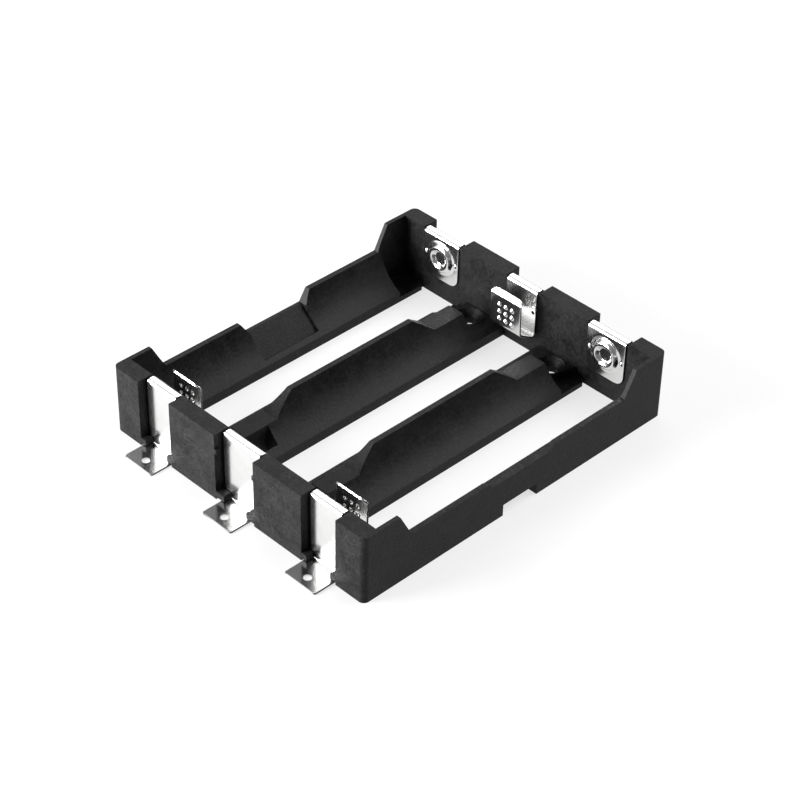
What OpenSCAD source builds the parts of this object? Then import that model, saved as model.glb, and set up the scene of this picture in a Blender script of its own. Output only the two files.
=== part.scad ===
// Three-bay holder for cylindrical cells: one moulded frame and six folded
// sheet contacts, one at each end of every bay. All sizes are in millimetres.
// The base rests on z = 0, x runs across the bays and y along the cells.
// Near is the end at negative y, left is negative x.

/* [Cells] */
// Diameter of the cell that a bay takes
cell_d = 21.7; // [18:0.1:26]
// Free space between the cell and its cradle, all round
cell_clear = 0.35; // [0.1:0.05:1]
// Height of the cell axis above the base
axis_h = 12.4; // [12:0.1:13]
// Length of a bay between its two end walls
bay_l = 75; // [72:0.5:110]

/* [Frame] */
// Overall height of the end walls
body_h = 15.6; // [15.4:0.1:20]
// Thickness of the side walls at the thinnest place
side_wall_t = 0.95; // [0.8:0.05:3]
// Thickness of the dividers at the thinnest place
divider_t = 0.9; // [0.8:0.05:3]
// Thickness of the end walls
end_wall_t = 3.75; // [3.6:0.05:5]
// Radius of the upright outer corners
corner_r = 1.3; // [0.4:0.1:2]
// Width of the window along the bottom of each bay
window_w = 9.6; // [8.6:0.1:10.4]

/* [Side walls] */
// Length of the full-height part at each end
raised_l = 9.05; // [6:0.05:12]
// Length of the ramp from the full height to the middle height
ramp_l = 3; // [1:0.1:6]
// Height of the side walls between the ramps
low_h = 10; // [9.2:0.1:12]
// Length of the dip half way along each side wall
dip_l = 15.2; // [8:0.1:24]
// Length of the slope at each end of the dip
dip_slope = 1.8; // [0.6:0.1:4]
// Height of the left wall in the dip
dip_left_h = 7.2; // [6.4:0.1:9]
// Height of the right wall in the dip
dip_right_h = 8.8; // [6.4:0.1:9]
// Thickness that the scoop leaves at the top of the left wall
scoop_wall_t = 0.75; // [0.6:0.05:1.2]
// Length of the notch under each side wall
notch_l = 9.3; // [4:0.1:16]
// Height of the notch
notch_h = 2.6; // [1:0.1:2.8]
// Depth of the notch into the frame
notch_d = 4.6; // [1:0.1:5]

/* [Dividers] */
// Height of the divider ridges
ridge_h = 10.5; // [9:0.1:12]
// Length of the ridges
ridge_l = 33.2; // [10:0.1:38]
// Length of the slope down from a ridge
ridge_slope = 5.2; // [2:0.1:6]
// Height of the dividers beyond the slopes
saddle_h = 6.6; // [5:0.1:8]
// Height of the screw pads at the divider ends
pad_h = 3; // [2.6:0.1:4]
// Length of the screw pads
pad_l = 7.5; // [7:0.1:9]

/* [Screw holes] */
// Diameter of the screw holes
screw_d = 3; // [2:0.1:3.4]
// Diameter of the countersink at the top of the pad
sink_d = 5.9; // [5:0.1:6.4]
// Distance from the holes to the inner face of the end wall
screw_inset = 3.3; // [3.2:0.1:3.8]

/* [Pockets] */
// Height of the pocket floor at the boss ends
pocket_floor = 1.2; // [0.8:0.1:2]
// Half width of these pockets at the end wall, toward a divider
pocket_reach = 7.7; // [7:0.1:8.5]
// How much wider the pockets are where they meet the cradle
pocket_flare = 1.8; // [0:0.1:2]
// Distance from the bay centre to the near edge of the middle slots
slot_near = 6.6; // [6:0.1:7.5]
// Width of the middle slots
slot_w = 2.9; // [1:0.1:3]
// Length of the middle slots
slot_l = 5.8; // [2:0.1:10]

/* [Contacts] */
// Thickness of the contact sheet
sheet_t = 0.4; // [0.25:0.05:0.5]
// Inside radius of the sharp bends
bend_r = 0.4; // [0.2:0.05:0.5]
// Width of the spring contacts
spring_w = 8.3; // [7:0.1:8.4]
// Width of the boss contacts
boss_w = 10; // [9:0.1:11]
// Width of the solder feet of the boss contacts
boss_foot_w = 8.2; // [7.2:0.1:8.4]
// Reach of the feet beyond the frame
foot_l = 4.7; // [4:0.1:8]
// Diameter of the hole in each foot
foot_hole_d = 1.7; // [0.8:0.1:2.4]
// Depth of the recess in which a contact passes over the wall
recess_d = 1.9; // [1.6:0.1:2]
// Free space at each side of a contact in its recess
recess_clear = 0.48; // [0.3:0.02:0.7]
// Width of the gap between the two lugs over a foot
lug_gap = 6.5; // [5:0.1:7]
// Height of the lugs
lug_h = 1.35; // [0.6:0.05:2.5]

/* [Spring leaves] */
// Height of the lowest place of the leaf, under its heel
leaf_low = 4.45; // [4:0.05:4.7]
// Mid-sheet radius of the heel
heel_r = 0.8; // [0.6:0.05:1]
// Angle above the level at which the leaf leaves the heel
heel_rise = 32; // [26:1:38]
// Distance from the frame end to the knee of the leaf
knee_reach = 8.5; // [8:0.05:9]
// Distance from the frame end to the place where the leaf turns back
top_reach = 8.7; // [8.4:0.05:9.2]
// How far below the top of the frame the leaf turns back
leaf_drop = 1.4; // [1.2:0.1:2]
// Length of the turned-back lip
lip_l = 1.2; // [0.8:0.1:1.6]
// Angle of the lip above the level
lip_rise = 48; // [30:1:70]
// Radius of the upper corners of the leaf
leaf_corner_r = 1.2; // [0.5:0.1:2]
// Radius of the pressed points
point_r = 0.6; // [0.55:0.05:0.75]
// Spacing of the pressed points
point_pitch = 1.75; // [1.65:0.05:1.9]

/* [Bosses] */
// Height of the middle of the boss above the base
boss_h = 10.4; // [9.8:0.1:10.8]
// Radius of the crest of the pressed ring
ring_r = 2.5; // [2:0.1:3]
// Radius of the rounded section of the ring
ring_tube = 1; // [0.8:0.05:1.2]
// Height of the lower edge of the boss plate
plate_low = 4.9; // [4:0.1:5.4]
// Radius of the lower corners of the boss plate
plate_corner_r = 2.2; // [1:0.1:3]

/* [Hidden] */
$fn = 48;

// Fits and small allowances
cut = 1;
fit_gap = 0.15;
lug_rise = 0.2;

// Cradles and bays
cradle_r = cell_d / 2 + cell_clear;
bay_pitch = 2 * cradle_r + divider_t;
divider_x = bay_pitch / 2;
body_w = 2 * (bay_pitch + cradle_r + side_wall_t);
body_l = bay_l + 2 * end_wall_t;
half_w = body_w / 2;
half_l = body_l / 2;
pad_y = bay_l / 2 - pad_l;
screw_y = bay_l / 2 - screw_inset;
sink_depth = (sink_d - screw_d) / 2;

// Dip in the left wall: the scoop is a sloping cut along the wall
scoop_fall = 4.8;
scoop_slope = 45;

// Wall web between the two legs of a contact
web_near = recess_d + sheet_t;
web_far = end_wall_t;
web_h = body_h - sheet_t;
web_r = bend_r + 0.02;

// Contact path: middle of the sheet, measured from the end of the frame
mid = sheet_t / 2;
leg_out = recess_d + mid;
leg_in = end_wall_t + mid;
crown_h = body_h - mid;
bend_mid = bend_r + mid;
bend_steps = 8;
heel_h = leaf_low + mid - heel_r * (tan(45 + heel_rise / 2) - 1);
knee_h = heel_h + (knee_reach - leg_in) * tan(heel_rise);
knee_r = 0.9;
top_h = body_h - leaf_drop;
lip_r = 0.9;
lip_end = [top_reach - lip_l * cos(lip_rise), top_h + lip_l * sin(lip_rise)];
lip_top = lip_end.y + mid * cos(lip_rise);

// Pressed points and small keys
point_h = 12;
point_wall = 0.28;
barb_h = 8.7;
barb_size = 1;
barb_out = 0.4;
key_h = 10.2;
key_r = 0.45;
key_inset = 0.75;
bump_h = 11.2;
bump_size = 1;
bump_out = 0.4;
waist_h = 0.9;

SPRING = 0;
BOSS = 1;
NEAR_KINDS = [SPRING, BOSS, SPRING];
FAR_KINDS = [BOSS, SPRING, BOSS];

function bay_x(bay) = (bay - 1) * bay_pitch;
function strip_w(kind) = kind == SPRING ? spring_w : boss_w;
function recess_w(kind) = strip_w(kind) + 2 * recess_clear;

// Path helpers for the folded sheet
function heading(a, b) = (b - a) / norm(b - a);
function side_of(d) = [-d.y, d.x];
function turn_angle(a, b, c) =
    atan2(cross(heading(a, b), heading(b, c)), heading(a, b) * heading(b, c));
function turned(v, a) = [v.x * cos(a) - v.y * sin(a), v.x * sin(a) + v.y * cos(a)];

spring_path = [[-foot_l, mid], [leg_out, mid], [leg_out, crown_h], [leg_in, crown_h],
               [leg_in, heel_h], [knee_reach, knee_h], [top_reach, top_h], lip_end];
spring_radii = [0, bend_mid, bend_mid, bend_mid, heel_r, knee_r, lip_r, 0];
boss_path = [[-foot_l, mid], [leg_out, mid], [leg_out, crown_h], [leg_in, crown_h],
             [leg_in, plate_low]];
boss_radii = [0, bend_mid, bend_mid, bend_mid, 0];

// Places what is drawn at an end: x across the bay, y inward, z up
module at_near(bay) {
    translate([bay_x(bay), -half_l, 0])
        children();
}

module at_far(bay) {
    translate([bay_x(bay), half_l, 0])
        rotate([0, 0, 180])
            children();
}

module at_each_end() {
    for (bay = [0 : 2]) {
        at_near(bay) {
            $kind = NEAR_KINDS[bay];
            children();
        }
        at_far(bay) {
            $kind = FAR_KINDS[bay];
            children();
        }
    }
}

// Extrudes a drawing of the y-z plane across a width, centred on x = 0
module across(w) {
    translate([-w / 2, 0, 0])
        rotate([90, 0, 90])
            linear_extrude(w)
                children();
}

// Frame

module body_plan() {
    square([body_w - 2 * corner_r, body_l], center = true);
    square([body_w, body_l - 2 * corner_r], center = true);
    for (sx = [-1, 1], sy = [-1, 1])
        translate([sx * (half_w - corner_r), sy * (half_l - corner_r)])
            circle(corner_r);
}

module bay_cut() {
    rotate([90, 0, 0])
        linear_extrude(bay_l, center = true) {
            translate([0, axis_h])
                circle(cradle_r);
            translate([-cradle_r, axis_h])
                square([2 * cradle_r, body_h]);
            translate([-window_w / 2, -cut])
                square([window_w, body_h]);
        }
}

// Everything above the top line of a side wall
module side_wall_cut(dip_h) {
    ramp_out = half_l - raised_l;
    ramp_in = ramp_out - ramp_l;
    dip_in = dip_l / 2;
    dip_out = dip_in + dip_slope;
    rise = (body_h - low_h) / ramp_l;
    across(2 * (half_w - bay_pitch + cut))
        polygon([[-ramp_out - cut, body_h + cut * rise], [-ramp_in, low_h],
                 [-dip_out, low_h], [-dip_in, dip_h],
                 [dip_in, dip_h], [dip_out, low_h],
                 [ramp_in, low_h], [ramp_out + cut, body_h + cut * rise]]);
}

// Sloping scoop on the inside of the left wall, as long as the dip
module scoop_cut() {
    top_x = half_w - bay_pitch - scoop_wall_t;
    rotate([90, 0, 0])
        linear_extrude(dip_l, center = true)
            polygon([[-top_x, dip_left_h], [-top_x, body_h], [0, body_h],
                     [0, dip_left_h],
                     [-top_x + scoop_fall / tan(scoop_slope), dip_left_h - scoop_fall]]);
}

// Everything above the top line of a divider
module divider_cut() {
    slope_in = ridge_l / 2;
    slope_out = slope_in + ridge_slope;
    wall_y = bay_l / 2;
    across(bay_pitch)
        polygon([[-wall_y, body_h + cut], [-wall_y, pad_h], [-pad_y, pad_h],
                 [-pad_y, saddle_h], [-slope_out, saddle_h], [-slope_in, ridge_h],
                 [slope_in, ridge_h], [slope_out, saddle_h], [pad_y, saddle_h],
                 [pad_y, pad_h], [wall_y, pad_h], [wall_y, body_h + cut]]);
}

module screw_hole() {
    translate([0, 0, -cut])
        cylinder(h = pad_h + 2 * cut, d = screw_d);
    translate([0, 0, pad_h - sink_depth])
        cylinder(h = sink_depth, d1 = screw_d, d2 = sink_d);
}

// Pocket at the boss end of a bay, drawn at that end
module boss_pocket(wall_left, wall_right, cradle_left, cradle_right) {
    pocket_end = end_wall_t + pad_l;
    translate([0, 0, pocket_floor])
        linear_extrude(body_h)
            polygon([[-wall_left, end_wall_t], [wall_right, end_wall_t],
                     [cradle_right, pocket_end], [-cradle_left, pocket_end]]);
}

module middle_slots() {
    for (side = [-1, 1])
        translate([side * (slot_near + slot_w / 2), end_wall_t + pad_l + slot_l / 2, 0])
            cube([slot_w, slot_l, 2 * saddle_h], center = true);
}

module pocket_cuts() {
    flared = pocket_reach + pocket_flare;
    at_far(0)
        boss_pocket(pocket_reach, cradle_r, flared, cradle_r);
    at_far(2)
        boss_pocket(cradle_r, pocket_reach, cradle_r, flared);
    at_near(1) {
        boss_pocket(pocket_reach, pocket_reach, flared, flared);
        middle_slots();
    }
}

module foot_notch() {
    translate([half_w - notch_d, -notch_l / 2, -cut])
        cube([notch_d + cut, notch_l, notch_h + cut]);
}

module contact_recess(kind) {
    w = recess_w(kind);
    translate([-w / 2, -cut, -cut])
        cube([w, end_wall_t + 2 * cut, body_h + 2 * cut]);
}

// Thin web over which the contact is folded
module web_profile() {
    w = web_far - web_near;
    translate([web_near, 0])
        square([w, web_h - web_r]);
    translate([web_near + web_r, 0])
        square([w - 2 * web_r, web_h]);
    for (u = [web_near + web_r, web_far - web_r])
        translate([u, web_h - web_r])
            circle(web_r);
}

// Lugs over the foot and small bumps beside a boss contact
module recess_keys(kind) {
    w = recess_w(kind);
    lug_w = (w - lug_gap) / 2;
    lug_d = recess_d - fit_gap;
    for (side = [-1, 1]) {
        translate([side * (w - lug_w) / 2, lug_d / 2, sheet_t + lug_rise + lug_h / 2])
            cube([lug_w, lug_d, lug_h], center = true);
        if (kind == BOSS)
            translate([side * (w - bump_out) / 2, bump_size / 2, bump_h + bump_size / 2])
                cube([bump_out, bump_size, bump_size], center = true);
    }
}

module moulded_frame() {
    color("#1e1e21") {
        difference() {
            linear_extrude(body_h)
                body_plan();
            for (bay = [0 : 2])
                translate([bay_x(bay), 0, 0])
                    bay_cut();
            translate([-half_w, 0, 0])
                side_wall_cut(dip_left_h);
            translate([half_w, 0, 0])
                side_wall_cut(dip_right_h);
            translate([-bay_pitch, 0, 0])
                scoop_cut();
            for (side = [-1, 1])
                translate([side * divider_x, 0, 0]) {
                    divider_cut();
                    translate([0, screw_y, 0])
                        screw_hole();
                }
            pocket_cuts();
            foot_notch();
            mirror([1, 0, 0])
                foot_notch();
            at_each_end()
                contact_recess($kind);
        }
        at_each_end() {
            across(recess_w($kind))
                web_profile();
            recess_keys($kind);
        }
    }
}

// Contacts

// Points along one face of the sheet: s is the distance from its middle
function bend_points(corner, d, r, angle, s) =
    let (turn_side = angle > 0 ? 1 : -1,
         centre = corner - d * r * tan(abs(angle) / 2) + side_of(d) * r * turn_side)
    [for (k = [0 : bend_steps])
        centre - turned(side_of(d), angle * k / bend_steps) * (turn_side * r - s)];

function face_points(path, radii, s) =
    let (last = len(path) - 1,
         first_side = side_of(heading(path[0], path[1])),
         last_side = side_of(heading(path[last - 1], path[last])))
    [path[0] + s * first_side,
     for (i = [1 : last - 1])
         each bend_points(path[i], heading(path[i - 1], path[i]), radii[i],
                          turn_angle(path[i - 1], path[i], path[i + 1]), s),
     path[last] + s * last_side];

// Side view of a sheet folded along a path
module folded(path, radii) {
    outer = face_points(path, radii, mid);
    inner = face_points(path, radii, -mid);
    polygon([each outer, for (i = [len(inner) - 1 : -1 : 0]) inner[i]]);
}

module foot_hole() {
    translate([0, -foot_l / 2 - 0.3, -cut])
        cylinder(h = sheet_t + 2 * cut, d = foot_hole_d);
}

// Waste outside a rounded corner that points to +x and +z; r is its radius
// and depth its length along y
module corner_waste(r, depth) {
    rotate([90, 0, 0])
        linear_extrude(depth, center = true)
            difference() {
                square(r + cut);
                circle(r);
            }
}

// Places what is pressed into the leaf: y is square to the sheet
module on_leaf(h) {
    lean = atan2(top_reach - knee_reach, top_h - knee_h);
    u = knee_reach + (h - knee_h) * tan(lean);
    translate([0, u, h])
        rotate([-lean, 0, 0])
            children();
}

module pressed_points() {
    for (row = [0 : 2], col = [-1 : 1])
        on_leaf(point_h - row * point_pitch)
            translate([col * point_pitch, 0, 0])
                children();
}

module spring_contact() {
    difference() {
        union() {
            across(spring_w)
                folded(spring_path, spring_radii);
            across(spring_w + 2 * barb_out)
                translate([recess_d, barb_h])
                    square([sheet_t, barb_size]);
            pressed_points()
                intersection() {
                    sphere(point_r, $fn = 24);
                    translate([-point_r, 0, -point_r])
                        cube(2 * point_r);
                }
        }
        foot_hole();
        pressed_points()
            sphere(point_r - point_wall, $fn = 24);
        for (side = [-1, 1])
            translate([side * (spring_w / 2 - key_inset), leg_in, key_h])
                rotate([90, 0, 0])
                    cylinder(h = 2 * sheet_t, r = key_r, center = true);
        for (side = [0, 1])
            mirror([side, 0, 0])
                translate([spring_w / 2 - leaf_corner_r, top_reach, lip_top - leaf_corner_r])
                    corner_waste(leaf_corner_r, 2 * lip_l);
    }
}

// Pressed ring, drawn at the back of the plate with its axis along y
module pressed_ring() {
    rotate([-90, 0, 0])
        rotate_extrude()
            intersection() {
                translate([ring_r, mid])
                    circle(ring_tube);
                square([ring_r + ring_tube, ring_tube + sheet_t]);
            }
}

module ring_groove() {
    rotate([-90, 0, 0])
        rotate_extrude()
            translate([ring_r, mid])
                circle(ring_tube - sheet_t);
}

module boss_contact() {
    difference() {
        union() {
            across(boss_w)
                folded(boss_path, boss_radii);
            translate([0, end_wall_t, boss_h])
                pressed_ring();
            for (side = [-1, 1])
                translate([side * (boss_w / 2 - key_inset), leg_in + mid, key_h])
                    rotate([90, 0, 0])
                        cylinder(h = 2 * mid, r = key_r, center = true);
        }
        translate([0, end_wall_t, boss_h])
            ring_groove();
        foot_hole();
        for (side = [-1, 1]) {
            translate([side * (boss_foot_w + boss_w) / 2, 0, 0])
                cube([boss_w, 2 * foot_l + cut, 2 * waist_h], center = true);
            mirror([side < 0 ? 1 : 0, 0, 0])
                translate([boss_w / 2 - plate_corner_r, leg_in, plate_low + plate_corner_r])
                    mirror([0, 0, 1])
                        corner_waste(plate_corner_r, 4 * sheet_t);
        }
    }
}

module sheet_color() {
    color("#c9c7c0")
        children();
}

module near_left_spring_contact() {
    sheet_color()
        at_near(0)
            spring_contact();
}

module near_middle_boss_contact() {
    sheet_color()
        at_near(1)
            boss_contact();
}

module near_right_spring_contact() {
    sheet_color()
        at_near(2)
            spring_contact();
}

module far_left_boss_contact() {
    sheet_color()
        at_far(0)
            boss_contact();
}

module far_middle_spring_contact() {
    sheet_color()
        at_far(1)
            spring_contact();
}

module far_right_boss_contact() {
    sheet_color()
        at_far(2)
            boss_contact();
}

moulded_frame();
near_left_spring_contact();
near_middle_boss_contact();
near_right_spring_contact();
far_left_boss_contact();
far_middle_spring_contact();
far_right_boss_contact();
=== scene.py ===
"""Looks of the cylindrical cell holder.

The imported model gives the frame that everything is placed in. The moulded
frame gets softened edges and a fine-grained black finish. The folded contacts
are made again as smooth pressed sheet by Geometry Nodes, each in the place of
its own node. A pale floor, soft lights, two pale cards for the sheet to
mirror and the photograph's camera complete the scene.
"""
import logging
import math
from abc import ABC, abstractmethod
from dataclasses import dataclass, field
from enum import Enum
from typing import Any

import bmesh
import bpy
from mathutils import Matrix, Vector


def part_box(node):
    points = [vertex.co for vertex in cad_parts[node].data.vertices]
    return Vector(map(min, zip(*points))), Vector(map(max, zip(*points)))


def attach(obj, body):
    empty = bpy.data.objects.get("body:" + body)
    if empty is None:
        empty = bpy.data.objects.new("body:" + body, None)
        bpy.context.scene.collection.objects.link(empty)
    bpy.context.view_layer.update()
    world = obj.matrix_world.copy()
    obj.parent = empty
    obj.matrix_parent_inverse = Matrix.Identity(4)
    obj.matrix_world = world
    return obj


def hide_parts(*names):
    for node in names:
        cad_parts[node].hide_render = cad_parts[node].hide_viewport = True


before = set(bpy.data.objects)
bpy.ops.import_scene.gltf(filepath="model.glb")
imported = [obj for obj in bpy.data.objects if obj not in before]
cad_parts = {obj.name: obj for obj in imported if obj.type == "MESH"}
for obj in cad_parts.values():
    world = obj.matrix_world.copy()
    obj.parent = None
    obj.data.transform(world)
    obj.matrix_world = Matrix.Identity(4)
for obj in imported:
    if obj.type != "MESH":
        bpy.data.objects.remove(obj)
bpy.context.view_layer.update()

LOG = logging.getLogger("cell_holder")
MM = 0.001
FRAME_NODE = "moulded_frame"

# Names of the contacts' own attributes
STATION = "station"
ACROSS = "across"
BEND = "bend"
CUT = "cut_edge"

# Socket types
FLOAT = "NodeSocketFloat"
VECTOR = "NodeSocketVector"
WHOLE = "NodeSocketInt"
GEOMETRY = "NodeSocketGeometry"

Color = tuple[float, float, float]
Span = tuple[float, float]


class Slot(Enum):
    """Material slots of the record."""

    PLASTIC = "black_plastic"
    SHEET = "bright_sheet"


class End(Enum):
    """The two ends of the holder, as the turn that brings a near contact there."""

    NEAR = 0.0
    FAR = math.pi


class NodeBench:
    """Adds nodes to one node tree and joins them."""

    def __init__(self, tree: bpy.types.NodeTree) -> None:
        """Keep the tree that the nodes go to.

        Args:
            tree: a shader or geometry node tree.
        """
        self.tree = tree

    def add(self, kind: str, sockets: dict[str | int, Any] | None = None,
            **settings: Any) -> bpy.types.Node:
        """Add one node.

        Args:
            kind: the node's type name.
            sockets: values or output sockets for its inputs, by name or place.
            settings: properties of the node itself.

        Returns:
            The new node.
        """
        node = self.tree.nodes.new(kind)
        for name, value in settings.items():
            setattr(node, name, value)
        for key, value in (sockets or {}).items():
            self.feed(node.inputs[key], value)
        return node

    def feed(self, socket: bpy.types.NodeSocket, value: Any) -> None:
        """Link an output socket to an input, or set the input's own value.

        Args:
            socket: the input.
            value: an output socket or a plain value.
        """
        if isinstance(value, bpy.types.NodeSocket):
            self.tree.links.new(value, socket)
        else:
            socket.default_value = value

    def math(self, operation: str, *values: Any) -> bpy.types.NodeSocket:
        """Add a Math node.

        Args:
            operation: the node's operation.
            values: its inputs, in order.

        Returns:
            The result's socket.
        """
        return self.add("ShaderNodeMath", dict(enumerate(values)),
                        operation=operation).outputs[0]

    def vector(self, operation: str, *values: Any) -> bpy.types.Node:
        """Add a Vector Math node.

        Args:
            operation: the node's operation.
            values: its vector inputs, in order.

        Returns:
            The node, because its result has more than one socket.
        """
        return self.add("ShaderNodeVectorMath", dict(enumerate(values)), operation=operation)

    def ramp(self, value: Any, low: Any, high: Any, out_low: Any = 0.0,
             out_high: Any = 1.0, smooth: bool = False) -> bpy.types.NodeSocket:
        """Add a Map Range node from one span to another.

        Args:
            value: what is mapped.
            low: start of the span that is read.
            high: end of the span that is read.
            out_low: result at low.
            out_high: result at high.
            smooth: True for an eased span.

        Returns:
            The result's socket.
        """
        node = self.add("ShaderNodeMapRange",
                        {"Value": value, "From Min": low, "From Max": high,
                         "To Min": out_low, "To Max": out_high},
                        interpolation_type="SMOOTHSTEP" if smooth else "LINEAR")
        return node.outputs["Result"]

    def group(self, tree: bpy.types.NodeTree, sockets: dict[str, Any]) -> bpy.types.Node:
        """Add a node group, of the same kind as this tree.

        Args:
            tree: the group's own tree.
            sockets: values or output sockets for its inputs, by name.

        Returns:
            The group's node.
        """
        return self.add(tree.bl_idname.replace("Tree", "Group"), sockets, node_tree=tree)

    def blend(self, share: Any, first: Any, second: Any) -> bpy.types.NodeSocket:
        """Add a Mix node for two colors.

        Args:
            share: share of the second color.
            first: color at share 0.
            second: color at share 1.

        Returns:
            The mixed color's socket.
        """
        return self.add("ShaderNodeMix", {"Factor": share, "A": first, "B": second},
                        data_type="RGBA").outputs["Result"]

    def bump(self, height: Any, strength: float, depth: float,
             under: Any = None) -> bpy.types.NodeSocket:
        """Add a Bump node.

        Args:
            height: height of the relief, from 0 to 1.
            strength: how much of it shows.
            depth: real depth of the relief.
            under: normal of a coarser relief under this one.

        Returns:
            The normal's socket.
        """
        sockets = {"Height": height, "Strength": strength, "Distance": depth}
        if under is not None:
            sockets["Normal"] = under
        return self.add("ShaderNodeBump", sockets).outputs["Normal"]

    def join(self, x: Any = 0.0, y: Any = 0.0, z: Any = 0.0) -> bpy.types.NodeSocket:
        """Add a node that makes one vector of three values."""
        return self.add("ShaderNodeCombineXYZ", {"X": x, "Y": y, "Z": z}).outputs[0]

    def split(self, vector: Any) -> Any:
        """Add a node that gives a vector's X, Y and Z."""
        return self.add("ShaderNodeSeparateXYZ", {"Vector": vector}).outputs

    def reach(self, x: Any, y: Any) -> bpy.types.NodeSocket:
        """Add nodes for the distance of the point x, y from zero."""
        return self.vector("LENGTH", self.join(x, y)).outputs["Value"]

    def store(self, geometry: Any, name: str, value: Any) -> bpy.types.NodeSocket:
        """Add a node that keeps a value on every point.

        Args:
            geometry: what gets the value.
            name: the attribute's name.
            value: the value's socket.

        Returns:
            The geometry with the attribute.
        """
        return self.add("GeometryNodeStoreNamedAttribute",
                        {"Geometry": geometry, "Name": name, "Value": value},
                        data_type="FLOAT", domain="POINT").outputs[0]

    def stored(self, name: str) -> bpy.types.NodeSocket:
        """Add a node that reads a value kept on the points."""
        return self.add("GeometryNodeInputNamedAttribute", {"Name": name},
                        data_type="FLOAT").outputs["Attribute"]


def new_group(name: str, kind: str, inputs: list[tuple[str, str]],
              outputs: list[tuple[str, str]]) -> tuple[NodeBench, Any, Any]:
    """Start a node group with named sockets.

    Args:
        name: the group's name.
        kind: "ShaderNodeTree" or "GeometryNodeTree".
        inputs: names and socket types of its inputs.
        outputs: names and socket types of its outputs.

    Returns:
        The bench for its nodes, its Group Input node and its Group Output node.
    """
    tree = bpy.data.node_groups.new(name, kind)
    for label, socket in inputs:
        tree.interface.new_socket(label, in_out="INPUT", socket_type=socket)
    for label, socket in outputs:
        tree.interface.new_socket(label, in_out="OUTPUT", socket_type=socket)
    bench = NodeBench(tree)
    return bench, bench.add("NodeGroupInput"), bench.add("NodeGroupOutput")


# Finishes


@dataclass
class SurfaceEffects:
    """Shader node groups that more than one finish uses, each built once."""

    grain_detail: float = 3.0
    grain_roughness: float = 0.6
    cloud_detail: float = 4.0
    cloud_roughness: float = 0.55
    cloud_span: Span = (0.32, 0.68)
    wander_scale: float = 90.0
    wander_detail: float = 1.0
    wander_reach: float = 4.0 * MM
    line_width: float = 0.035
    patch_scale: float = 320.0
    patch_detail: float = 2.0
    patch_span: Span = (0.56, 0.66)
    grain: bpy.types.NodeTree = field(init=False)
    clouds: bpy.types.NodeTree = field(init=False)
    marks: bpy.types.NodeTree = field(init=False)

    def __post_init__(self) -> None:
        """Build the groups."""
        self.grain = self._fine_grain()
        self.clouds = self._soft_clouds()
        self.marks = self._handling_marks()

    def _fine_grain(self) -> bpy.types.NodeTree:
        """Even grain of one size.

        Returns:
            The group, with Grain from 0 to 1.
        """
        bench, given, result = new_group("Fine grain", "ShaderNodeTree",
                                         [("Place", VECTOR), ("Scale", FLOAT)],
                                         [("Grain", FLOAT)])
        noise = bench.add("ShaderNodeTexNoise",
                          {"Vector": given.outputs["Place"], "Scale": given.outputs["Scale"],
                           "Detail": self.grain_detail, "Roughness": self.grain_roughness})
        bench.feed(result.inputs["Grain"], noise.outputs["Fac"])
        return bench.tree

    def _soft_clouds(self) -> bpy.types.NodeTree:
        """Soft clouds, with clear and full stretches between them.

        Returns:
            The group, with Clouds from 0 to 1.
        """
        bench, given, result = new_group("Soft clouds", "ShaderNodeTree",
                                         [("Place", VECTOR), ("Scale", FLOAT)],
                                         [("Clouds", FLOAT)])
        noise = bench.add("ShaderNodeTexNoise",
                          {"Vector": given.outputs["Place"], "Scale": given.outputs["Scale"],
                           "Detail": self.cloud_detail, "Roughness": self.cloud_roughness})
        bench.feed(result.inputs["Clouds"],
                   bench.ramp(noise.outputs["Fac"], *self.cloud_span, smooth=True))
        return bench.tree

    def _handling_marks(self) -> bpy.types.NodeTree:
        """Sparse short rubs, as parts get in a tray.

        Returns:
            The group, with a Marks mask from 0 to 1.
        """
        bench, given, result = new_group(
            "Handling marks", "ShaderNodeTree",
            [("Place", VECTOR), ("Scale", FLOAT), ("Amount", FLOAT)], [("Marks", FLOAT)])
        place = given.outputs["Place"]
        bent = bench.add("ShaderNodeTexNoise", {"Vector": place, "Scale": self.wander_scale,
                                                "Detail": self.wander_detail})
        wander = bench.vector("SCALE", bent.outputs["Color"])
        bench.feed(wander.inputs["Scale"], self.wander_reach)
        moved = bench.vector("ADD", place, wander.outputs[0])
        lines = bench.add("ShaderNodeTexVoronoi",
                          {"Vector": moved.outputs[0], "Scale": given.outputs["Scale"]},
                          feature="DISTANCE_TO_EDGE")
        thin = bench.ramp(lines.outputs["Distance"], 0.0, self.line_width, 1.0, 0.0)
        patches = bench.add("ShaderNodeTexNoise", {"Vector": place, "Scale": self.patch_scale,
                                                   "Detail": self.patch_detail})
        few = bench.ramp(patches.outputs["Fac"], *self.patch_span)
        bench.feed(result.inputs["Marks"],
                   bench.math("MULTIPLY", bench.math("MULTIPLY", thin, few),
                              given.outputs["Amount"]))
        return bench.tree


@dataclass(frozen=True)
class Finish:
    """What every finish has: a name, and a shader bench to start from."""

    name: str

    def start(self) -> tuple[bpy.types.Material, NodeBench, bpy.types.Node]:
        """Make the empty material.

        Returns:
            The material, the bench for its nodes and its Principled BSDF.
        """
        material = bpy.data.materials.new(self.name)
        material.use_nodes = True
        material.node_tree.nodes.clear()
        bench = NodeBench(material.node_tree)
        shader = bench.add("ShaderNodeBsdfPrincipled")
        out = bench.add("ShaderNodeOutputMaterial")
        bench.feed(out.inputs["Surface"], shader.outputs["BSDF"])
        return material, bench, shader


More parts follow.
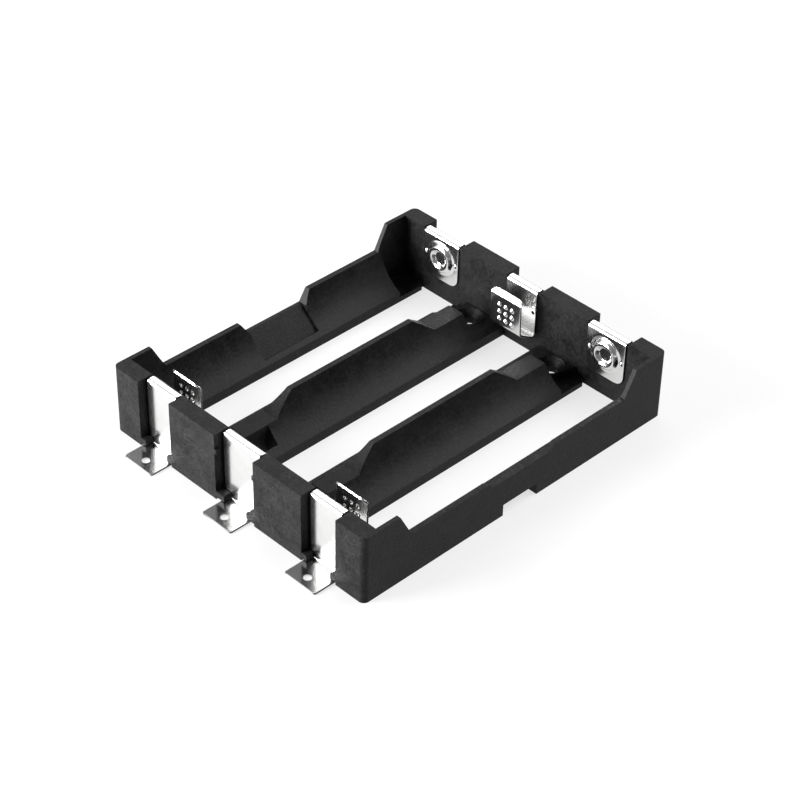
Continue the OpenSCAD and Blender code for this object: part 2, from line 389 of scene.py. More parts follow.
@dataclass(frozen=True)
class MouldedPlastic(Finish):
    """Black plastic from a finely eroded mould."""

    name: str = "moulded black plastic"
    dark: Color = (0.0008, 0.0008, 0.0012)
    light: Color = (0.0150, 0.0145, 0.0150)
    rub: Color = (0.045, 0.044, 0.044)
    roughness: Span = (0.44, 0.56)
    shine: float = 0.125
    refraction: float = 1.5
    grain_size: float = 0.26 * MM
    grain_depth: float = 0.08 * MM
    grain_strength: float = 0.8
    speckle_size: float = 0.62 * MM
    speckle_depth: float = 0.09 * MM
    speckle_strength: float = 0.9
    speckle_span: Span = (0.34, 0.66)
    speckle_share: float = 0.6
    cloud_size: float = 4.0 * MM
    mark_scale: float = 420.0
    mark_amount: float = 0.35

    def make(self, effects: SurfaceEffects) -> bpy.types.Material:
        """Build the material.

        Args:
            effects: the shared node groups.

        Returns:
            The material.
        """
        material, bench, shader = self.start()
        place = bench.add("ShaderNodeTexCoord").outputs["Object"]
        grain = bench.group(effects.grain, {"Place": place, "Scale": 1 / self.grain_size})
        speckle = bench.group(effects.grain, {"Place": place, "Scale": 1 / self.speckle_size})
        clouds = bench.group(effects.clouds, {"Place": place, "Scale": 1 / self.cloud_size})
        marks = bench.group(effects.marks, {"Place": place, "Scale": self.mark_scale,
                                            "Amount": self.mark_amount})
        spots = bench.ramp(speckle.outputs["Grain"], *self.speckle_span)
        tone = bench.math("ADD", bench.math("MULTIPLY", spots, self.speckle_share),
                          bench.math("MULTIPLY", clouds.outputs["Clouds"],
                                     1 - self.speckle_share))
        base = bench.blend(tone, (*self.dark, 1.0), (*self.light, 1.0))
        bench.feed(shader.inputs["Base Color"],
                   bench.blend(marks.outputs["Marks"], base, (*self.rub, 1.0)))
        bench.feed(shader.inputs["Roughness"], bench.ramp(tone, 0.0, 1.0, *self.roughness))
        coarse = bench.bump(speckle.outputs["Grain"], self.speckle_strength,
                            self.speckle_depth)
        bench.feed(shader.inputs["Normal"],
                   bench.bump(grain.outputs["Grain"], self.grain_strength, self.grain_depth,
                              coarse))
        bench.feed(shader.inputs["IOR"], self.refraction)
        bench.feed(shader.inputs["Specular IOR Level"], self.shine)
        return material


@dataclass(frozen=True)
class PlatedSheet(Finish):
    """Bright nickel on rolled strip, with the rolling lines along the strip, darker sheared
    edges, and painted contact shadow on the foot's edges.
    """

    name: str = "bright plated sheet"
    clear: Color = (0.79, 0.79, 0.785)
    dull: Color = (0.70, 0.70, 0.69)
    roughness: Span = (0.17, 0.27)
    # Cut-edge darkening colour. On the foot's edges it is painted shade, standing in for the
    # floor's contact shadow along the foot. On the other cut edges, at sheared_share, it is a
    # darker sheared-edge look.
    edge_shadow_and_shear: Color = (0.06, 0.06, 0.06)
    sheared_roughness: float = 0.3
    foot_length: float = 5.0 * MM
    foot_run: float = 1.0 * MM
    sheared_share: float = 0.25
    line_size: float = 0.09 * MM
    line_stretch: float = 0.04
    line_depth: float = 0.0012 * MM
    line_strength: float = 0.6
    cloud_size: float = 2.6 * MM
    cloud_share: float = 0.25
    mark_scale: float = 650.0
    mark_amount: float = 0.6

    def make(self, effects: SurfaceEffects) -> bpy.types.Material:
        """Build the material.

        Args:
            effects: the shared node groups.

        Returns:
            The material.
        """
        material, bench, shader = self.start()
        place = bench.add("ShaderNodeTexCoord").outputs["Object"]
        along, across, cut = (
            bench.add("ShaderNodeAttribute", attribute_name=name).outputs["Fac"]
            for name in (STATION, ACROSS, CUT))
        strip = bench.join(bench.math("MULTIPLY", along, self.line_stretch), across)
        lines = bench.group(effects.grain, {"Place": strip, "Scale": 1 / self.line_size})
        clouds = bench.group(effects.clouds, {"Place": place, "Scale": 1 / self.cloud_size})
        marks = bench.group(effects.marks, {"Place": place, "Scale": self.mark_scale,
                                            "Amount": self.mark_amount})
        tone = bench.math("MAXIMUM", marks.outputs["Marks"],
                          bench.math("MULTIPLY", clouds.outputs["Clouds"], self.cloud_share))
        plating = bench.blend(tone, (*self.clear, 1.0), (*self.dull, 1.0))
        # Cut edges are darkened fully on the foot, where this is painted contact shadow, and by
        # sheared_share further along, where it is a sheared-edge look.
        foot_shadow_and_shear = bench.ramp(along, self.foot_length, self.foot_length + self.foot_run, 1.0,
                          self.sheared_share)
        edge = bench.math("MULTIPLY", cut, foot_shadow_and_shear)
        bench.feed(shader.inputs["Base Color"],
                   bench.blend(edge, plating, (*self.edge_shadow_and_shear, 1.0)))
        bench.feed(shader.inputs["Roughness"],
                   bench.math("ADD", bench.ramp(tone, 0.0, 1.0, *self.roughness),
                              bench.math("MULTIPLY", edge, self.sheared_roughness)))
        bench.feed(shader.inputs["Normal"],
                   bench.bump(lines.outputs["Grain"], self.line_strength, self.line_depth))
        bench.feed(shader.inputs["Metallic"], 1.0)
        return material


@dataclass(frozen=True)
class PaleFloor(Finish):
    """White table that glows a little, as a light table does."""

    name: str = "pale floor"
    color: Color = (0.16, 0.16, 0.16)
    glow_color: Color = (1.0, 1.0, 1.0)
    glow: float = 0.70
    roughness: Span = (0.75, 0.85)
    tooth_scale: float = 900.0
    tooth_detail: float = 2.0
    tooth_span: Span = (0.3, 0.7)

    def make(self) -> bpy.types.Material:
        """Build the material.

        Returns:
            The material.
        """
        material, bench, shader = self.start()
        place = bench.add("ShaderNodeTexCoord").outputs["Object"]
        tooth = bench.add("ShaderNodeTexNoise", {"Vector": place, "Scale": self.tooth_scale,
                                                 "Detail": self.tooth_detail})
        bench.feed(shader.inputs["Roughness"],
                   bench.ramp(tooth.outputs["Fac"], *self.tooth_span, *self.roughness))
        bench.feed(shader.inputs["Base Color"], (*self.color, 1.0))
        bench.feed(shader.inputs["Emission Color"], (*self.glow_color, 1.0))
        bench.feed(shader.inputs["Emission Strength"], self.glow)
        return material


# Meshes


def show(name: str, mesh: bpy.types.Mesh) -> bpy.types.Object:
    """Put a mesh into the scene as an object at the origin.

    Args:
        name: the object's name.
        mesh: its mesh.

    Returns:
        The object.
    """
    mesh.name = name
    piece = bpy.data.objects.new(name, mesh)
    bpy.context.scene.collection.objects.link(piece)
    return piece


def settle(piece: bpy.types.Object, node: str) -> None:
    """Let a finished piece stand for a node of the model.

    Args:
        piece: the piece, in place.
        node: the node that it replaces.
    """
    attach(piece, "root")
    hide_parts(node)
    LOG.info("%s: %d faces in place of %s", piece.name, len(piece.data.polygons), node)


@dataclass
class MouldedFrame:
    """The black moulding, with the small radii that a mould leaves on edges."""

    finish: bpy.types.Material
    edge_radius: float = 0.22 * MM
    edge_steps: int = 2
    merge_distance: float = 0.002 * MM
    flat_angle: float = math.radians(0.5)
    sharp_angle: float = math.radians(28)
    blend_angle: float = math.radians(50)

    def build(self) -> bpy.types.Object:
        """Soften a merged copy of the node's mesh.

        Returns:
            The visible frame.
        """
        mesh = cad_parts[FRAME_NODE].data.copy()
        shape = bmesh.new()
        shape.from_mesh(mesh)
        bmesh.ops.remove_doubles(shape, verts=shape.verts, dist=self.merge_distance)
        bmesh.ops.dissolve_limit(shape, angle_limit=self.flat_angle, verts=shape.verts,
                                 edges=shape.edges)
        for face in shape.faces:
            face.smooth = True
        shape.to_mesh(mesh)
        shape.free()
        piece = show("frame_body", mesh)
        soften = piece.modifiers.new("mould radii", "BEVEL")
        soften.width = self.edge_radius
        soften.segments = self.edge_steps
        soften.limit_method = "ANGLE"
        soften.angle_limit = self.sharp_angle
        soften.miter_outer = "MITER_ARC"
        final = bpy.data.meshes.new_from_object(
            piece.evaluated_get(bpy.context.evaluated_depsgraph_get()))
        piece.modifiers.clear()
        piece.data = final
        self._flatten_broad_faces(final)
        piece.data.materials.clear()
        piece.data.materials.append(self.finish)
        settle(piece, FRAME_NODE)
        return piece

    def _flatten_broad_faces(self, mesh: bpy.types.Mesh) -> None:
        """Weight the normals by face area, so that broad faces shade flat.

        Args:
            mesh: the softened mesh.
        """
        around: list[list[tuple[Vector, float]]] = [[] for _ in mesh.vertices]
        for face in mesh.polygons:
            for index in face.vertices:
                around[index].append((face.normal.copy(), face.area))
        limit = math.cos(self.blend_angle)
        normals = []
        for face in mesh.polygons:
            for index in face.vertices:
                total = Vector((0.0, 0.0, 0.0))
                for normal, area in around[index]:
                    if normal.dot(face.normal) > limit:
                        total += normal * area
                normals.append(total.normalized())
        mesh.normals_split_custom_set(normals)


@dataclass
class FoldedContact(ABC):
    """A contact folded from one strip of sheet.

    The fold is drawn from the end of the frame: u runs inward and v up. The
    strip's width lies across it.
    """

    finish: bpy.types.Material
    width: float
    foot_width: float
    tip_radius: float
    sheet: float = 0.4 * MM
    foot_reach: float = 4.7 * MM
    recess: float = 1.9 * MM
    wall: float = 3.75 * MM
    height: float = 15.6 * MM
    bend: float = 0.6 * MM
    foot_corner: float = 0.35 * MM
    waist: float = 7.1 * MM
    waist_run: float = 0.5 * MM
    spacing: float = 0.14 * MM
    edge_round: float = 0.07 * MM
    edge_steps: int = 3
    arc_steps: int = 10
    press_depth: float = 0.45 * MM
    hole_radius: float = 0.85 * MM
    hole_place: float = 2.65 * MM
    hole_sides: int = 40
    punch_length: float = 1.6 * MM
    crease: float = math.radians(40)
    name: str = "folded contact"

    @property
    def middle(self) -> float:
        """Half the thickness of the sheet."""
        return self.sheet / 2

    @property
    def plate(self) -> float:
        """Place of the inner leg's middle."""
        return self.wall + self.middle

    def path(self) -> list[tuple[float, float, float]]:
        """Corners of the fold up to the crown: u, v and bend radius.

        Returns:
            The corners shared by both kinds of contact.
        """
        outer = self.recess + self.middle
        crown = self.height - self.middle
        return [(-self.foot_reach, self.middle, 0.0), (outer, self.middle, self.bend),
                (outer, crown, self.bend), (self.plate, crown, self.bend)]

    def sizes(self) -> dict[str, float]:
        """Sizes that the contact's tree takes as named inputs.

        Returns:
            The sizes shared by both kinds of contact, by the input's name.
        """
        return {"Width": self.width, "Sheet": self.sheet, "Spacing": self.spacing,
                "Edge Round": self.edge_round, "Foot Width": self.foot_width,
                "Foot Corner": self.foot_corner, "Waist": self.waist,
                "Waist Run": self.waist_run, "Tip Radius": self.tip_radius,
                "Press Depth": self.press_depth, "Hole Radius": self.hole_radius,
                "Punch Length": self.punch_length}

    @abstractmethod
    def relief(self, bench: NodeBench, get: Any,
               place: bpy.types.NodeSocket) -> bpy.types.NodeSocket:
        """Pressed relief of the sheet.

        Args:
            bench: the bench of the contact's tree.
            get: the tree's inputs, by name.
            place: position in the fold's own directions.

        Returns:
            The offset of each point.
        """

    def holes(self) -> list[tuple[Vector, Vector, str]]:
        """Round holes: centre across, inward and up, turn, and name of the radius."""
        return [(Vector((0.0, -self.hole_place, self.middle)), Vector((0, 0, 0)),
                 "Hole Radius")]

    def _path_mesh(self) -> bpy.types.Mesh:
        """Mesh of the fold's corners.

        Returns:
            The corners joined by edges, each with its bend radius.
        """
        corners = self.path()
        mesh = bpy.data.meshes.new("fold corners")
        mesh.from_pydata([(u, v, 0.0) for u, v, _ in corners],
                         [(i, i + 1) for i in range(len(corners) - 1)], [])
        bends = mesh.attributes.new(BEND, "FLOAT", "POINT")
        bends.data.foreach_set("value", [radius for _, _, radius in corners])
        return mesh

    def _outline_group(self) -> bpy.types.NodeTree:
        """Width of the strip along its length.

        Returns:
            A group that turns a place across the full width into the real one.
        """
        bench, given, result = new_group(
            "Strip outline", "GeometryNodeTree",
            [("Across", FLOAT), ("Station", FLOAT), ("Length", FLOAT), ("Width", FLOAT),
             ("Foot Width", FLOAT), ("Foot Corner", FLOAT), ("Waist", FLOAT),
             ("Waist Run", FLOAT), ("Tip Radius", FLOAT)],
            [("Across", FLOAT)])
        get = given.outputs
        half = bench.math("MULTIPLY", get["Width"], 0.5)
        foot_half = bench.math("MULTIPLY", get["Foot Width"], 0.5)

        def rounded(edge: Any, radius: Any, room: Any) -> bpy.types.NodeSocket:
            """Half width near an end that has rounded corners."""
            missing = bench.math("MAXIMUM", bench.math("SUBTRACT", radius, room), 0.0)
            missing = bench.math("MINIMUM", missing, radius)
            square = bench.math("SUBTRACT", bench.math("MULTIPLY", radius, radius),
                                bench.math("MULTIPLY", missing, missing))
            arc = bench.math("SQRT", bench.math("MAXIMUM", square, 0.0))
            return bench.math("ADD", bench.math("SUBTRACT", edge, radius), arc)

        tip = rounded(half, get["Tip Radius"],
                      bench.math("SUBTRACT", get["Length"], get["Station"]))
        foot = rounded(foot_half, get["Foot Corner"], get["Station"])
        wide = bench.ramp(get["Station"], get["Waist"],
                          bench.math("ADD", get["Waist"], get["Waist Run"]),
                          foot, half, smooth=True)
        scale = bench.math("DIVIDE", bench.math("MINIMUM", tip, wide), half)
        bench.feed(result.inputs["Across"], bench.math("MULTIPLY", get["Across"], scale))
        return bench.tree

    def _cuts_group(self) -> bpy.types.NodeTree:
        """Number of cuts that leaves a given spacing.

        Returns:
            A group that reads the next point and gives the cuts up to it.
        """
        bench, given, result = new_group(
            "Even cuts", "GeometryNodeTree", [("Spacing", FLOAT)], [("Cuts", WHOLE)])
        here = bench.add("GeometryNodeInputPosition").outputs[0]
        step = bench.add("GeometryNodeOffsetPointInCurve", {"Offset": 1})
        there = bench.add("GeometryNodeFieldAtIndex", {"Index": step.outputs["Point Index"]},
                          data_type="FLOAT_VECTOR", domain="POINT")
        bench.feed(there.inputs["Value"], here)
        gap = bench.vector("DISTANCE", there.outputs["Value"], here).outputs["Value"]
        bench.feed(result.inputs["Cuts"],
                   bench.math("FLOOR", bench.math("DIVIDE", gap, given.outputs["Spacing"])))
        return bench.tree

    def _tree(self) -> bpy.types.NodeTree:
        """Tree that folds, presses and pierces the strip.

        Returns:
            The geometry node tree.
        """
        bench, given, result = new_group(
            self.name, "GeometryNodeTree",
            [("Geometry", GEOMETRY), *((label, FLOAT) for label in self.sizes())],
            [("Geometry", GEOMETRY)])
        get = given.outputs
        strip, length = self._sweep(bench, get)
        pierced = self._pierce(bench, get, self._press(bench, get, strip, length))
        bench.feed(result.inputs["Geometry"], self._dress(bench, pierced))
        return bench.tree

    def _sweep(self, bench: NodeBench,
               get: Any) -> tuple[bpy.types.NodeSocket, bpy.types.NodeSocket]:
        """Bend the fold's corners round and sweep the sheet's section along it.

        Args:
            bench: the bench of the contact's tree.
            get: the tree's inputs, by name.

        Returns:
            The strip, of one width all along, and its length.
        """
        curve = bench.add("GeometryNodeMeshToCurve", {"Mesh": get["Geometry"]})
        bent = bench.add("GeometryNodeFilletCurve",
                         {"Curve": curve.outputs[0], "Count": self.arc_steps,
                          "Radius": bench.stored(BEND)}, mode="POLY")
        level = bench.add("GeometryNodeSetCurveNormal", {"Curve": bent.outputs[0]},
                          mode="Z_UP")
        cuts = bench.group(self._cuts_group(), {"Spacing": get["Spacing"]}).outputs["Cuts"]
        fine = bench.add("GeometryNodeSubdivideCurve",
                         {"Curve": level.outputs[0], "Cuts": cuts}).outputs[0]
        marked = bench.store(fine, STATION,
                             bench.add("GeometryNodeSplineParameter").outputs["Length"])
        section = bench.add("GeometryNodeCurvePrimitiveQuadrilateral",
                            {"Width": get["Sheet"], "Height": get["Width"]})
        eased = bench.add("GeometryNodeFilletCurve",
                          {"Curve": section.outputs[0], "Count": self.edge_steps,
                           "Radius": get["Edge Round"]}, mode="POLY")
        columns = bench.add("GeometryNodeSubdivideCurve",
                            {"Curve": eased.outputs[0], "Cuts": cuts})
        swept = bench.add("GeometryNodeCurveToMesh",
                          {"Curve": marked, "Profile Curve": columns.outputs[0],
                           "Fill Caps": True})
        length = bench.add("GeometryNodeCurveLength", {"Curve": fine}).outputs["Length"]
        return swept.outputs[0], length

    def _press(self, bench: NodeBench, get: Any, strip: bpy.types.NodeSocket,
               length: bpy.types.NodeSocket) -> bpy.types.NodeSocket:
        """Give the strip its outline and its relief, and stand it upright.

        Args:
            bench: the bench of the contact's tree.
            get: the tree's inputs, by name.
            strip: the swept strip.
            length: its length.

        Returns:
            The shaped strip, with the attributes that its finish reads.
        """
        place = bench.split(bench.add("GeometryNodeInputPosition").outputs[0])
        wanted = ("Width", "Foot Width", "Foot Corner", "Waist", "Waist Run", "Tip Radius")
        across = bench.group(self._outline_group(),
                             {"Across": place["Z"], "Station": bench.stored(STATION),
                              "Length": length, **{label: get[label] for label in wanted}}
                             ).outputs["Across"]
        room = bench.math("SUBTRACT", bench.math("MULTIPLY", get["Width"], 0.5),
                          bench.math("ABSOLUTE", place["Z"]))
        on_edge = bench.math("LESS_THAN", room, bench.math("MULTIPLY", get["Edge Round"], 0.5))
        kept = bench.store(bench.store(strip, ACROSS, across), CUT, on_edge)
        flat = bench.join(place["X"], place["Y"], across)
        pressed = bench.split(
            bench.vector("ADD", flat, self.relief(bench, get, flat)).outputs[0])
        upright = bench.join(pressed["Z"], pressed["X"], pressed["Y"])
        return bench.add("GeometryNodeSetPosition",
                         {"Geometry": kept, "Position": upright}).outputs[0]

    def _pierce(self, bench: NodeBench, get: Any,
                strip: bpy.types.NodeSocket) -> bpy.types.NodeSocket:
        """Cut the round holes.

        Args:
            bench: the bench of the contact's tree.
            get: the tree's inputs, by name.
            strip: the shaped strip.

        Returns:
            The strip with its holes.
        """
        pierced = bench.add("GeometryNodeMeshBoolean", {"Mesh 1": strip},
                            operation="DIFFERENCE", solver="MANIFOLD")
        for centre, turn, label in self.holes():
            punch = bench.add("GeometryNodeMeshCylinder",
                              {"Vertices": self.hole_sides, "Radius": get[label],
                               "Depth": get["Punch Length"]})
            put = bench.add("GeometryNodeTransform",
                            {"Geometry": punch.outputs[0], "Translation": centre,
                             "Rotation": turn})
            bench.feed(pierced.inputs["Mesh 2"], put.outputs[0])
        return pierced.outputs[0]

    def _dress(self, bench: NodeBench, strip: bpy.types.NodeSocket) -> bpy.types.NodeSocket:
        """Shade the strip smooth but for its creases, and give it its finish.

        Args:
            bench: the bench of the contact's tree.
            strip: the finished shape.

        Returns:
            The real geometry with its material.
        """
        smooth = bench.add("GeometryNodeSetShadeSmooth", {0: strip}, domain="FACE")
        angle = bench.add("GeometryNodeInputMeshEdgeAngle").outputs["Unsigned Angle"]
        sharp = bench.math("GREATER_THAN", angle, self.crease)
        crisp = bench.add("GeometryNodeSetShadeSmooth",
                          {0: smooth.outputs[0], "Selection": sharp, "Shade Smooth": False},
                          domain="EDGE")
        real = bench.add("GeometryNodeRealizeInstances", {"Geometry": crisp.outputs[0]})
        return bench.add("GeometryNodeSetMaterial",
                         {"Geometry": real.outputs[0], "Material": self.finish}).outputs[0]

    def mesh(self) -> bpy.types.Mesh:
        """Run the tree on the fold's corners.

        Returns:
            A plain mesh of the contact at the near end of the middle bay.
        """
        piece = show(self.name, self._path_mesh())
        fold = piece.modifiers.new("fold", "NODES")
        fold.node_group = self._tree()
        sizes = self.sizes()
        for item in fold.node_group.interface.items_tree:
            if item.in_out == "INPUT" and item.name in sizes:
                fold[item.identifier] = sizes[item.name]
        final = bpy.data.meshes.new_from_object(
            piece.evaluated_get(bpy.context.evaluated_depsgraph_get()))
        bpy.data.objects.remove(piece)
        return final

    def fit(self, mesh: bpy.types.Mesh, node: str, end: End) -> bpy.types.Object:
        """Place a copy of the contact's mesh where its node is.

        Args:
            mesh: the contact, drawn at the end of the frame at the origin.
            node: the node that it stands for.
            end: the end of the holder.

        Returns:
            The placed piece.
        """
        low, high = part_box(node)
        body_low, body_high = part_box(FRAME_NODE)
        face = body_low.y if end is End.NEAR else body_high.y
        copy = mesh.copy()
        copy.transform(Matrix.Translation(((low.x + high.x) / 2, face, 0.0))
                       @ Matrix.Rotation(end.value, 4, "Z"))
        piece = show(f"{node}_sheet", copy)
        settle(piece, node)
        return piece


@dataclass
class SpringContact(FoldedContact):
    """Contact with a sprung leaf that presses on the flat end of a cell."""

    width: float = 8.3 * MM
    foot_width: float = 8.3 * MM
    tip_radius: float = 1.2 * MM
    name: str = "spring contact"
    leaf_low: float = 4.45 * MM
    heel_radius: float = 0.8 * MM
    heel_rise: float = math.radians(32)
    knee_reach: float = 8.5 * MM
    knee_radius: float = 0.9 * MM
    turn_back: tuple[float, float] = (8.7 * MM, 14.2 * MM)
    lip: float = 1.2 * MM
    lip_rise: float = math.radians(48)
    lip_radius: float = 0.9 * MM
    point_height: float = 12.0 * MM
    point_pitch: float = 1.75 * MM
    point_radius: float = 0.57 * MM
    point_rise: float = 0.38 * MM
    point_fullness: float = 1.6
    key_place: tuple[float, float] = (3.4 * MM, 10.2 * MM)
    key_radius: float = 0.45 * MM

    @property
    def heel(self) -> float:
        """Height at which the line of the plate meets that of the heel's slope."""
        turn = (math.pi / 2 + self.heel_rise) / 2
        return self.leaf_low + self.middle - self.heel_radius * (math.tan(turn) - 1)

    @property
    def knee(self) -> tuple[float, float]:
        """Place of the knee, inward and up."""
        run = self.knee_reach - self.plate
        return self.knee_reach, self.heel + run * math.tan(self.heel_rise)

    @property
    def lean(self) -> float:
        """Angle of the leaf from upright."""
        return math.atan2(self.turn_back[0] - self.knee[0], self.turn_back[1] - self.knee[1])

    def path(self) -> list[tuple[float, float, float]]:
        """Corners of the whole fold, with the leaf.

        Returns:
            The corners, from the foot to the lip.
        """
        u, v = self.turn_back
        return super().path() + [
            (self.plate, self.heel, self.heel_radius), (*self.knee, self.knee_radius),
            (u, v, self.lip_radius),
            (u - self.lip * math.cos(self.lip_rise), v + self.lip * math.sin(self.lip_rise), 0.0)]

    def sizes(self) -> dict[str, float]:
        """Sizes that the tree takes, with those of the points and the keys.

        Returns:
            The sizes, by the input's name.
        """
        return super().sizes() | {
            "Point Pitch": self.point_pitch, "Point Radius": self.point_radius,
            "Point Rise": self.point_rise, "Point Fullness": self.point_fullness,
            "Key Radius": self.key_radius}

    def holes(self) -> list[tuple[Vector, Vector, str]]:
        """Foot hole and the two keys in the plate.

        Returns:
            Their centres, turns and names of the radius.
        """
        across, up = self.key_place
        flat = Vector((math.pi / 2, 0, 0))
        return super().holes() + [(Vector((side * across, self.plate, up)), flat,
                                   "Key Radius") for side in (-1, 1)]

    def relief(self, bench: NodeBench, get: Any,
               place: bpy.types.NodeSocket) -> bpy.types.NodeSocket:
        """Rows of pressed points on the leaf.

        Args:
            bench: the bench of the contact's tree.
            get: the tree's inputs, by name.
            place: position in the fold's own directions.

        Returns:
            The offset of each point, square to the leaf.
        """
        row = self.point_height - self.point_pitch
        centre = (self.knee[0] + (row - self.knee[1]) * math.tan(self.lean), row, 0.0)
        up = (math.sin(self.lean), math.cos(self.lean), 0.0)
        toward_cell = (math.cos(self.lean), -math.sin(self.lean), 0.0)
        wanted = ("Point Pitch", "Point Radius", "Point Rise", "Point Fullness", "Press Depth")
        return bench.group(self._points_group(),
                           {"Place": place, "Centre": centre, "Up": up,
                            "Toward Cell": toward_cell,
                            **{label: get[label] for label in wanted}}).outputs["Offset"]

    def _points_group(self) -> bpy.types.NodeTree:
        """Three rows of three pressed points.

        Returns:
            The group, with the offset at a place.
        """
        bench, given, result = new_group(
            "Pressed points", "GeometryNodeTree",
            [("Place", VECTOR), ("Centre", VECTOR), ("Up", VECTOR), ("Toward Cell", VECTOR),
             ("Point Pitch", FLOAT), ("Point Radius", FLOAT), ("Point Rise", FLOAT),
             ("Point Fullness", FLOAT), ("Press Depth", FLOAT)], [("Offset", VECTOR)])
        get = given.outputs
        pitch = get["Point Pitch"]
        away = bench.vector("SUBTRACT", get["Place"], get["Centre"]).outputs[0]
        along = bench.vector("DOT_PRODUCT", away, get["Up"]).outputs["Value"]
        off = bench.vector("DOT_PRODUCT", away, get["Toward Cell"]).outputs["Value"]

        def to_nearest(value: bpy.types.NodeSocket) -> bpy.types.NodeSocket:
            """Distance to the nearest of three rows."""
            count = bench.math("ROUND", bench.math("DIVIDE", value, pitch))
            count = bench.math("MAXIMUM", bench.math("MINIMUM", count, 1.0), -1.0)
            return bench.math("SUBTRACT", value, bench.math("MULTIPLY", count, pitch))

        reach = bench.reach(to_nearest(along), to_nearest(bench.split(away)["Z"]))
        share = bench.math("MINIMUM", bench.math("DIVIDE", reach, get["Point Radius"]), 1.0)
        dome = bench.math("POWER", bench.math("SUBTRACT", 1.0,
                                              bench.math("MULTIPLY", share, share)),
                          get["Point Fullness"])
        on_leaf = bench.math("LESS_THAN", bench.math("ABSOLUTE", off), get["Press Depth"])
        push = bench.vector("SCALE", get["Toward Cell"])
        bench.feed(push.inputs["Scale"],
                   bench.math("MULTIPLY", bench.math("MULTIPLY", dome, on_leaf),
                              get["Point Rise"]))
        bench.feed(result.inputs["Offset"], push.outputs[0])
        return bench.tree


@dataclass
class BossContact(FoldedContact):
    """Contact with a pressed ring that meets the button of a cell."""

    width: float = 10.0 * MM
    foot_width: float = 8.2 * MM
    tip_radius: float = 2.2 * MM
    name: str = "boss contact"
    plate_low: float = 4.9 * MM
    boss_height: float = 10.4 * MM
    ring_radius: float = 2.5 * MM
    ring_half: float = 1.05 * MM
    ring_rise: float = 0.72 * MM
    ring_fullness: float = 1.2
    step_radius: float = 4.05 * MM
    step_run: float = 0.35 * MM
    step_rise: float = 0.12 * MM
    key_place: tuple[float, float] = (4.25 * MM, 10.2 * MM)
    key_radius: float = 0.5 * MM
    key_rise: float = 0.32 * MM
    key_flatness: float = 0.55

    def path(self) -> list[tuple[float, float, float]]:
        """Corners of the whole fold, with the boss plate."""
        return super().path() + [(self.plate, self.plate_low, 0.0)]

    def sizes(self) -> dict[str, float]:
        """Sizes that the tree takes, with those of the ring, the step and the keys.

        Returns:
            The sizes, by the input's name.
        """
        across, up = self.key_place
        return super().sizes() | {
            "Ring Radius": self.ring_radius, "Ring Half": self.ring_half,
            "Ring Rise": self.ring_rise, "Ring Fullness": self.ring_fullness,
            "Step Radius": self.step_radius, "Step Run": self.step_run,
            "Step Rise": self.step_rise, "Key Across": across, "Key Up": up,
            "Key Radius": self.key_radius, "Key Rise": self.key_rise,
            "Key Flatness": self.key_flatness}

    def relief(self, bench: NodeBench, get: Any,
               place: bpy.types.NodeSocket) -> bpy.types.NodeSocket:
        """Ring on a low step, and a key at each side.

        Args:
            bench: the bench of the contact's tree.
            get: the tree's inputs, by name.
            place: position in the fold's own directions.

        Returns:
            The offset of each point, toward the cell.
        """
        away = bench.split(
            bench.vector("SUBTRACT", place, (self.plate, self.boss_height, 0.0)).outputs[0])
        ring = self._ring(bench, get, bench.reach(away["Y"], away["Z"]))
        rise = bench.math("ADD", ring, self._key(bench, get, bench.split(place)))
        on_plate = bench.math("LESS_THAN", bench.math("ABSOLUTE", away["X"]),
                              get["Press Depth"])
        return bench.join(bench.math("MULTIPLY", rise, on_plate))

    def _ring(self, bench: NodeBench, get: Any,
              reach: bpy.types.NodeSocket) -> bpy.types.NodeSocket:
        """Rise of the ring and of the step under it.

        Args:
            bench: the bench of the contact's tree.
            get: the tree's inputs, by name.
            reach: distance from the ring's centre.

        Returns:
            The rise.
        """
        share = bench.math("DIVIDE", bench.math("SUBTRACT", reach, get["Ring Radius"]),
                           get["Ring Half"])
        share = bench.math("MINIMUM", bench.math("ABSOLUTE", share), 1.0)
        crest = bench.math("POWER", bench.math("SUBTRACT", 1.0,
                                               bench.math("MULTIPLY", share, share)),
                           get["Ring Fullness"])
        step = bench.ramp(reach, bench.math("SUBTRACT", get["Step Radius"], get["Step Run"]),
                          get["Step Radius"], get["Step Rise"], 0.0, smooth=True)
        return bench.math("ADD", bench.math("MULTIPLY", crest, get["Ring Rise"]), step)

    def _key(self, bench: NodeBench, get: Any, place: Any) -> bpy.types.NodeSocket:
        """Rise of the key at each side of the plate.

        Args:
            bench: the bench of the contact's tree.
            get: the tree's inputs, by name.
            place: position in the fold's own directions, by axis.

        Returns:
            The rise.
        """
        side = bench.math("SUBTRACT", bench.math("ABSOLUTE", place["Z"]), get["Key Across"])
        tall = bench.math("MULTIPLY", bench.math("SUBTRACT", place["Y"], get["Key Up"]),
                          get["Key Flatness"])
        return bench.ramp(bench.reach(side, tall), 0.0, get["Key Radius"], get["Key Rise"],
                          0.0, smooth=True)


# Studio


@dataclass(frozen=True)
class SoftLight:
    """A square soft light, or a pale card, that looks at the holder."""

    name: str
    place: tuple[float, float, float]
    size: float
    power: float


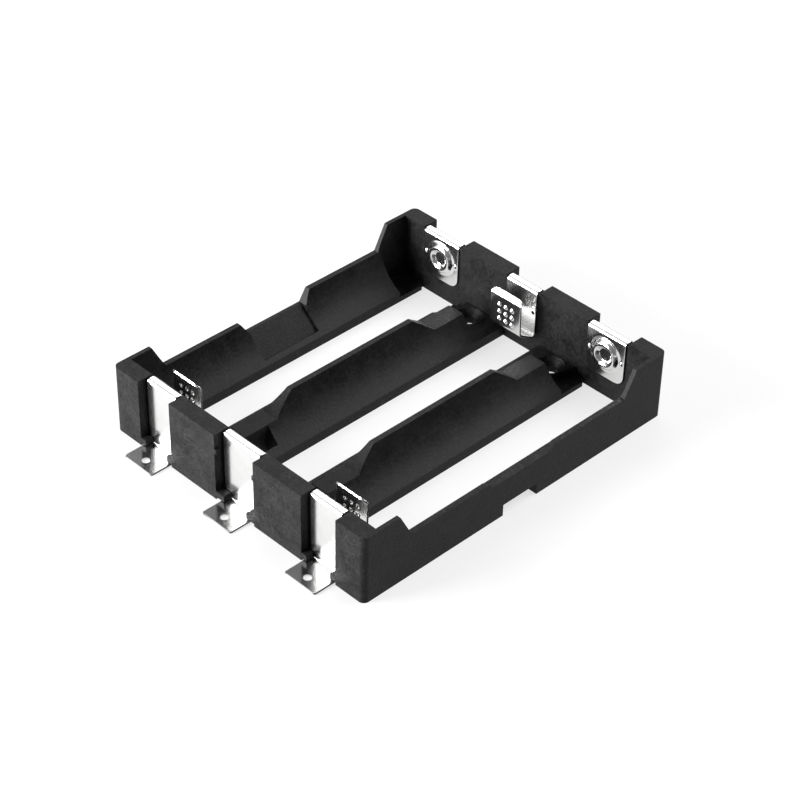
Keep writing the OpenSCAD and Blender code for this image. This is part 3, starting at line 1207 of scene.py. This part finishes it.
@dataclass
class Studio:
    """Floor, soft lights and the photograph's camera."""

    floor_finish: bpy.types.Material
    azimuth: float = math.radians(44.98)
    elevation: float = math.radians(37.80)
    distance: float = 478.3 * MM
    target: Vector = field(default_factory=lambda: Vector((-3.61, 6.09, 0.0)) * MM)
    roll: float = math.radians(1.22)
    lens: float = 106.45
    sensor: float = 36.0
    floor_size: float = 3.0
    floor_drop: float = 0.03 * MM
    surroundings: float = 0.18
    lights: tuple[SoftLight, ...] = (
        SoftLight("front light", (-0.20, -0.34, 0.12), 0.24, 6.6),
        SoftLight("front card", (-0.50, -0.55, 0.56), 0.7, 1.2),
        SoftLight("left card", (-0.76, -0.02, 0.80), 0.8, 0.5),
        SoftLight("far left light", (-0.62, 0.62, 0.80), 0.9, 6.0),
        SoftLight("far right light", (0.28, 0.62, 0.72), 0.7, 12.5))

    def build(self) -> None:
        """Make everything that isn't the object."""
        self._floor()
        self._sky()
        for light in self.lights:
            self._lamp(light)
        self._camera()

    def _floor(self) -> None:
        """Lay a plain pale floor just under the holder."""
        half = self.floor_size / 2
        mesh = bpy.data.meshes.new("floor")
        mesh.from_pydata([(-half, -half, -self.floor_drop), (half, -half, -self.floor_drop),
                          (half, half, -self.floor_drop), (-half, half, -self.floor_drop)],
                         [], [(0, 1, 2, 3)])
        mesh.materials.append(self.floor_finish)
        show("floor", mesh)

    def _sky(self) -> None:
        """Surround the scene with even white light."""
        world = bpy.data.worlds.new("white surroundings")
        world.use_nodes = True
        back = world.node_tree.nodes["Background"]
        back.inputs["Color"].default_value = (1.0, 1.0, 1.0, 1.0)
        back.inputs["Strength"].default_value = self.surroundings
        bpy.context.scene.world = world
        bpy.context.scene.view_settings.view_transform = "Standard"

    def _lamp(self, light: SoftLight) -> None:
        """Hang one light.

        Args:
            light: its place, size and power.
        """
        place = Vector(light.place)
        data = bpy.data.lights.new(light.name, "AREA")
        data.size = light.size
        data.energy = light.power
        lamp = bpy.data.objects.new(light.name, data)
        lamp.matrix_world = (Matrix.Translation(place)
                             @ place.to_track_quat("Z", "Y").to_matrix().to_4x4())
        bpy.context.scene.collection.objects.link(lamp)

    def _camera(self) -> None:
        """Set the camera that a fit to the photograph's straight edges gave."""
        back = Vector((math.sin(self.azimuth) * math.cos(self.elevation),
                       -math.cos(self.azimuth) * math.cos(self.elevation),
                       math.sin(self.elevation)))
        right = Vector((math.cos(self.azimuth), math.sin(self.azimuth), 0.0))
        up = back.cross(right)
        rolled_right = right * math.cos(self.roll) + up * math.sin(self.roll)
        rolled_up = up * math.cos(self.roll) - right * math.sin(self.roll)
        turn = Matrix((rolled_right, rolled_up, back)).transposed().to_4x4()
        data = bpy.data.cameras.new("photograph camera")
        data.lens = self.lens
        data.sensor_width = self.sensor
        camera = bpy.data.objects.new("photograph camera", data)
        camera.matrix_world = Matrix.Translation(self.target + back * self.distance) @ turn
        bpy.context.scene.collection.objects.link(camera)
        bpy.context.scene.camera = camera


SPRING_PLACES = {"near_left_spring_contact": End.NEAR, "near_right_spring_contact": End.NEAR,
                 "far_middle_spring_contact": End.FAR}
BOSS_PLACES = {"near_middle_boss_contact": End.NEAR, "far_left_boss_contact": End.FAR,
               "far_right_boss_contact": End.FAR}


def main() -> None:
    """Build the pieces in order and report each."""
    logging.basicConfig(level=logging.INFO, format="%(name)s: %(message)s")
    effects = SurfaceEffects()
    plastic = MouldedPlastic().make(effects)
    sheet = PlatedSheet().make(effects)
    MouldedFrame(plastic).build()
    for contact, places in ((SpringContact(sheet), SPRING_PLACES),
                            (BossContact(sheet), BOSS_PLACES)):
        mesh = contact.mesh()
        for node, end in places.items():
            contact.fit(mesh, node, end)
    Studio(PaleFloor().make()).build()


if __name__ == "__main__":
    main()
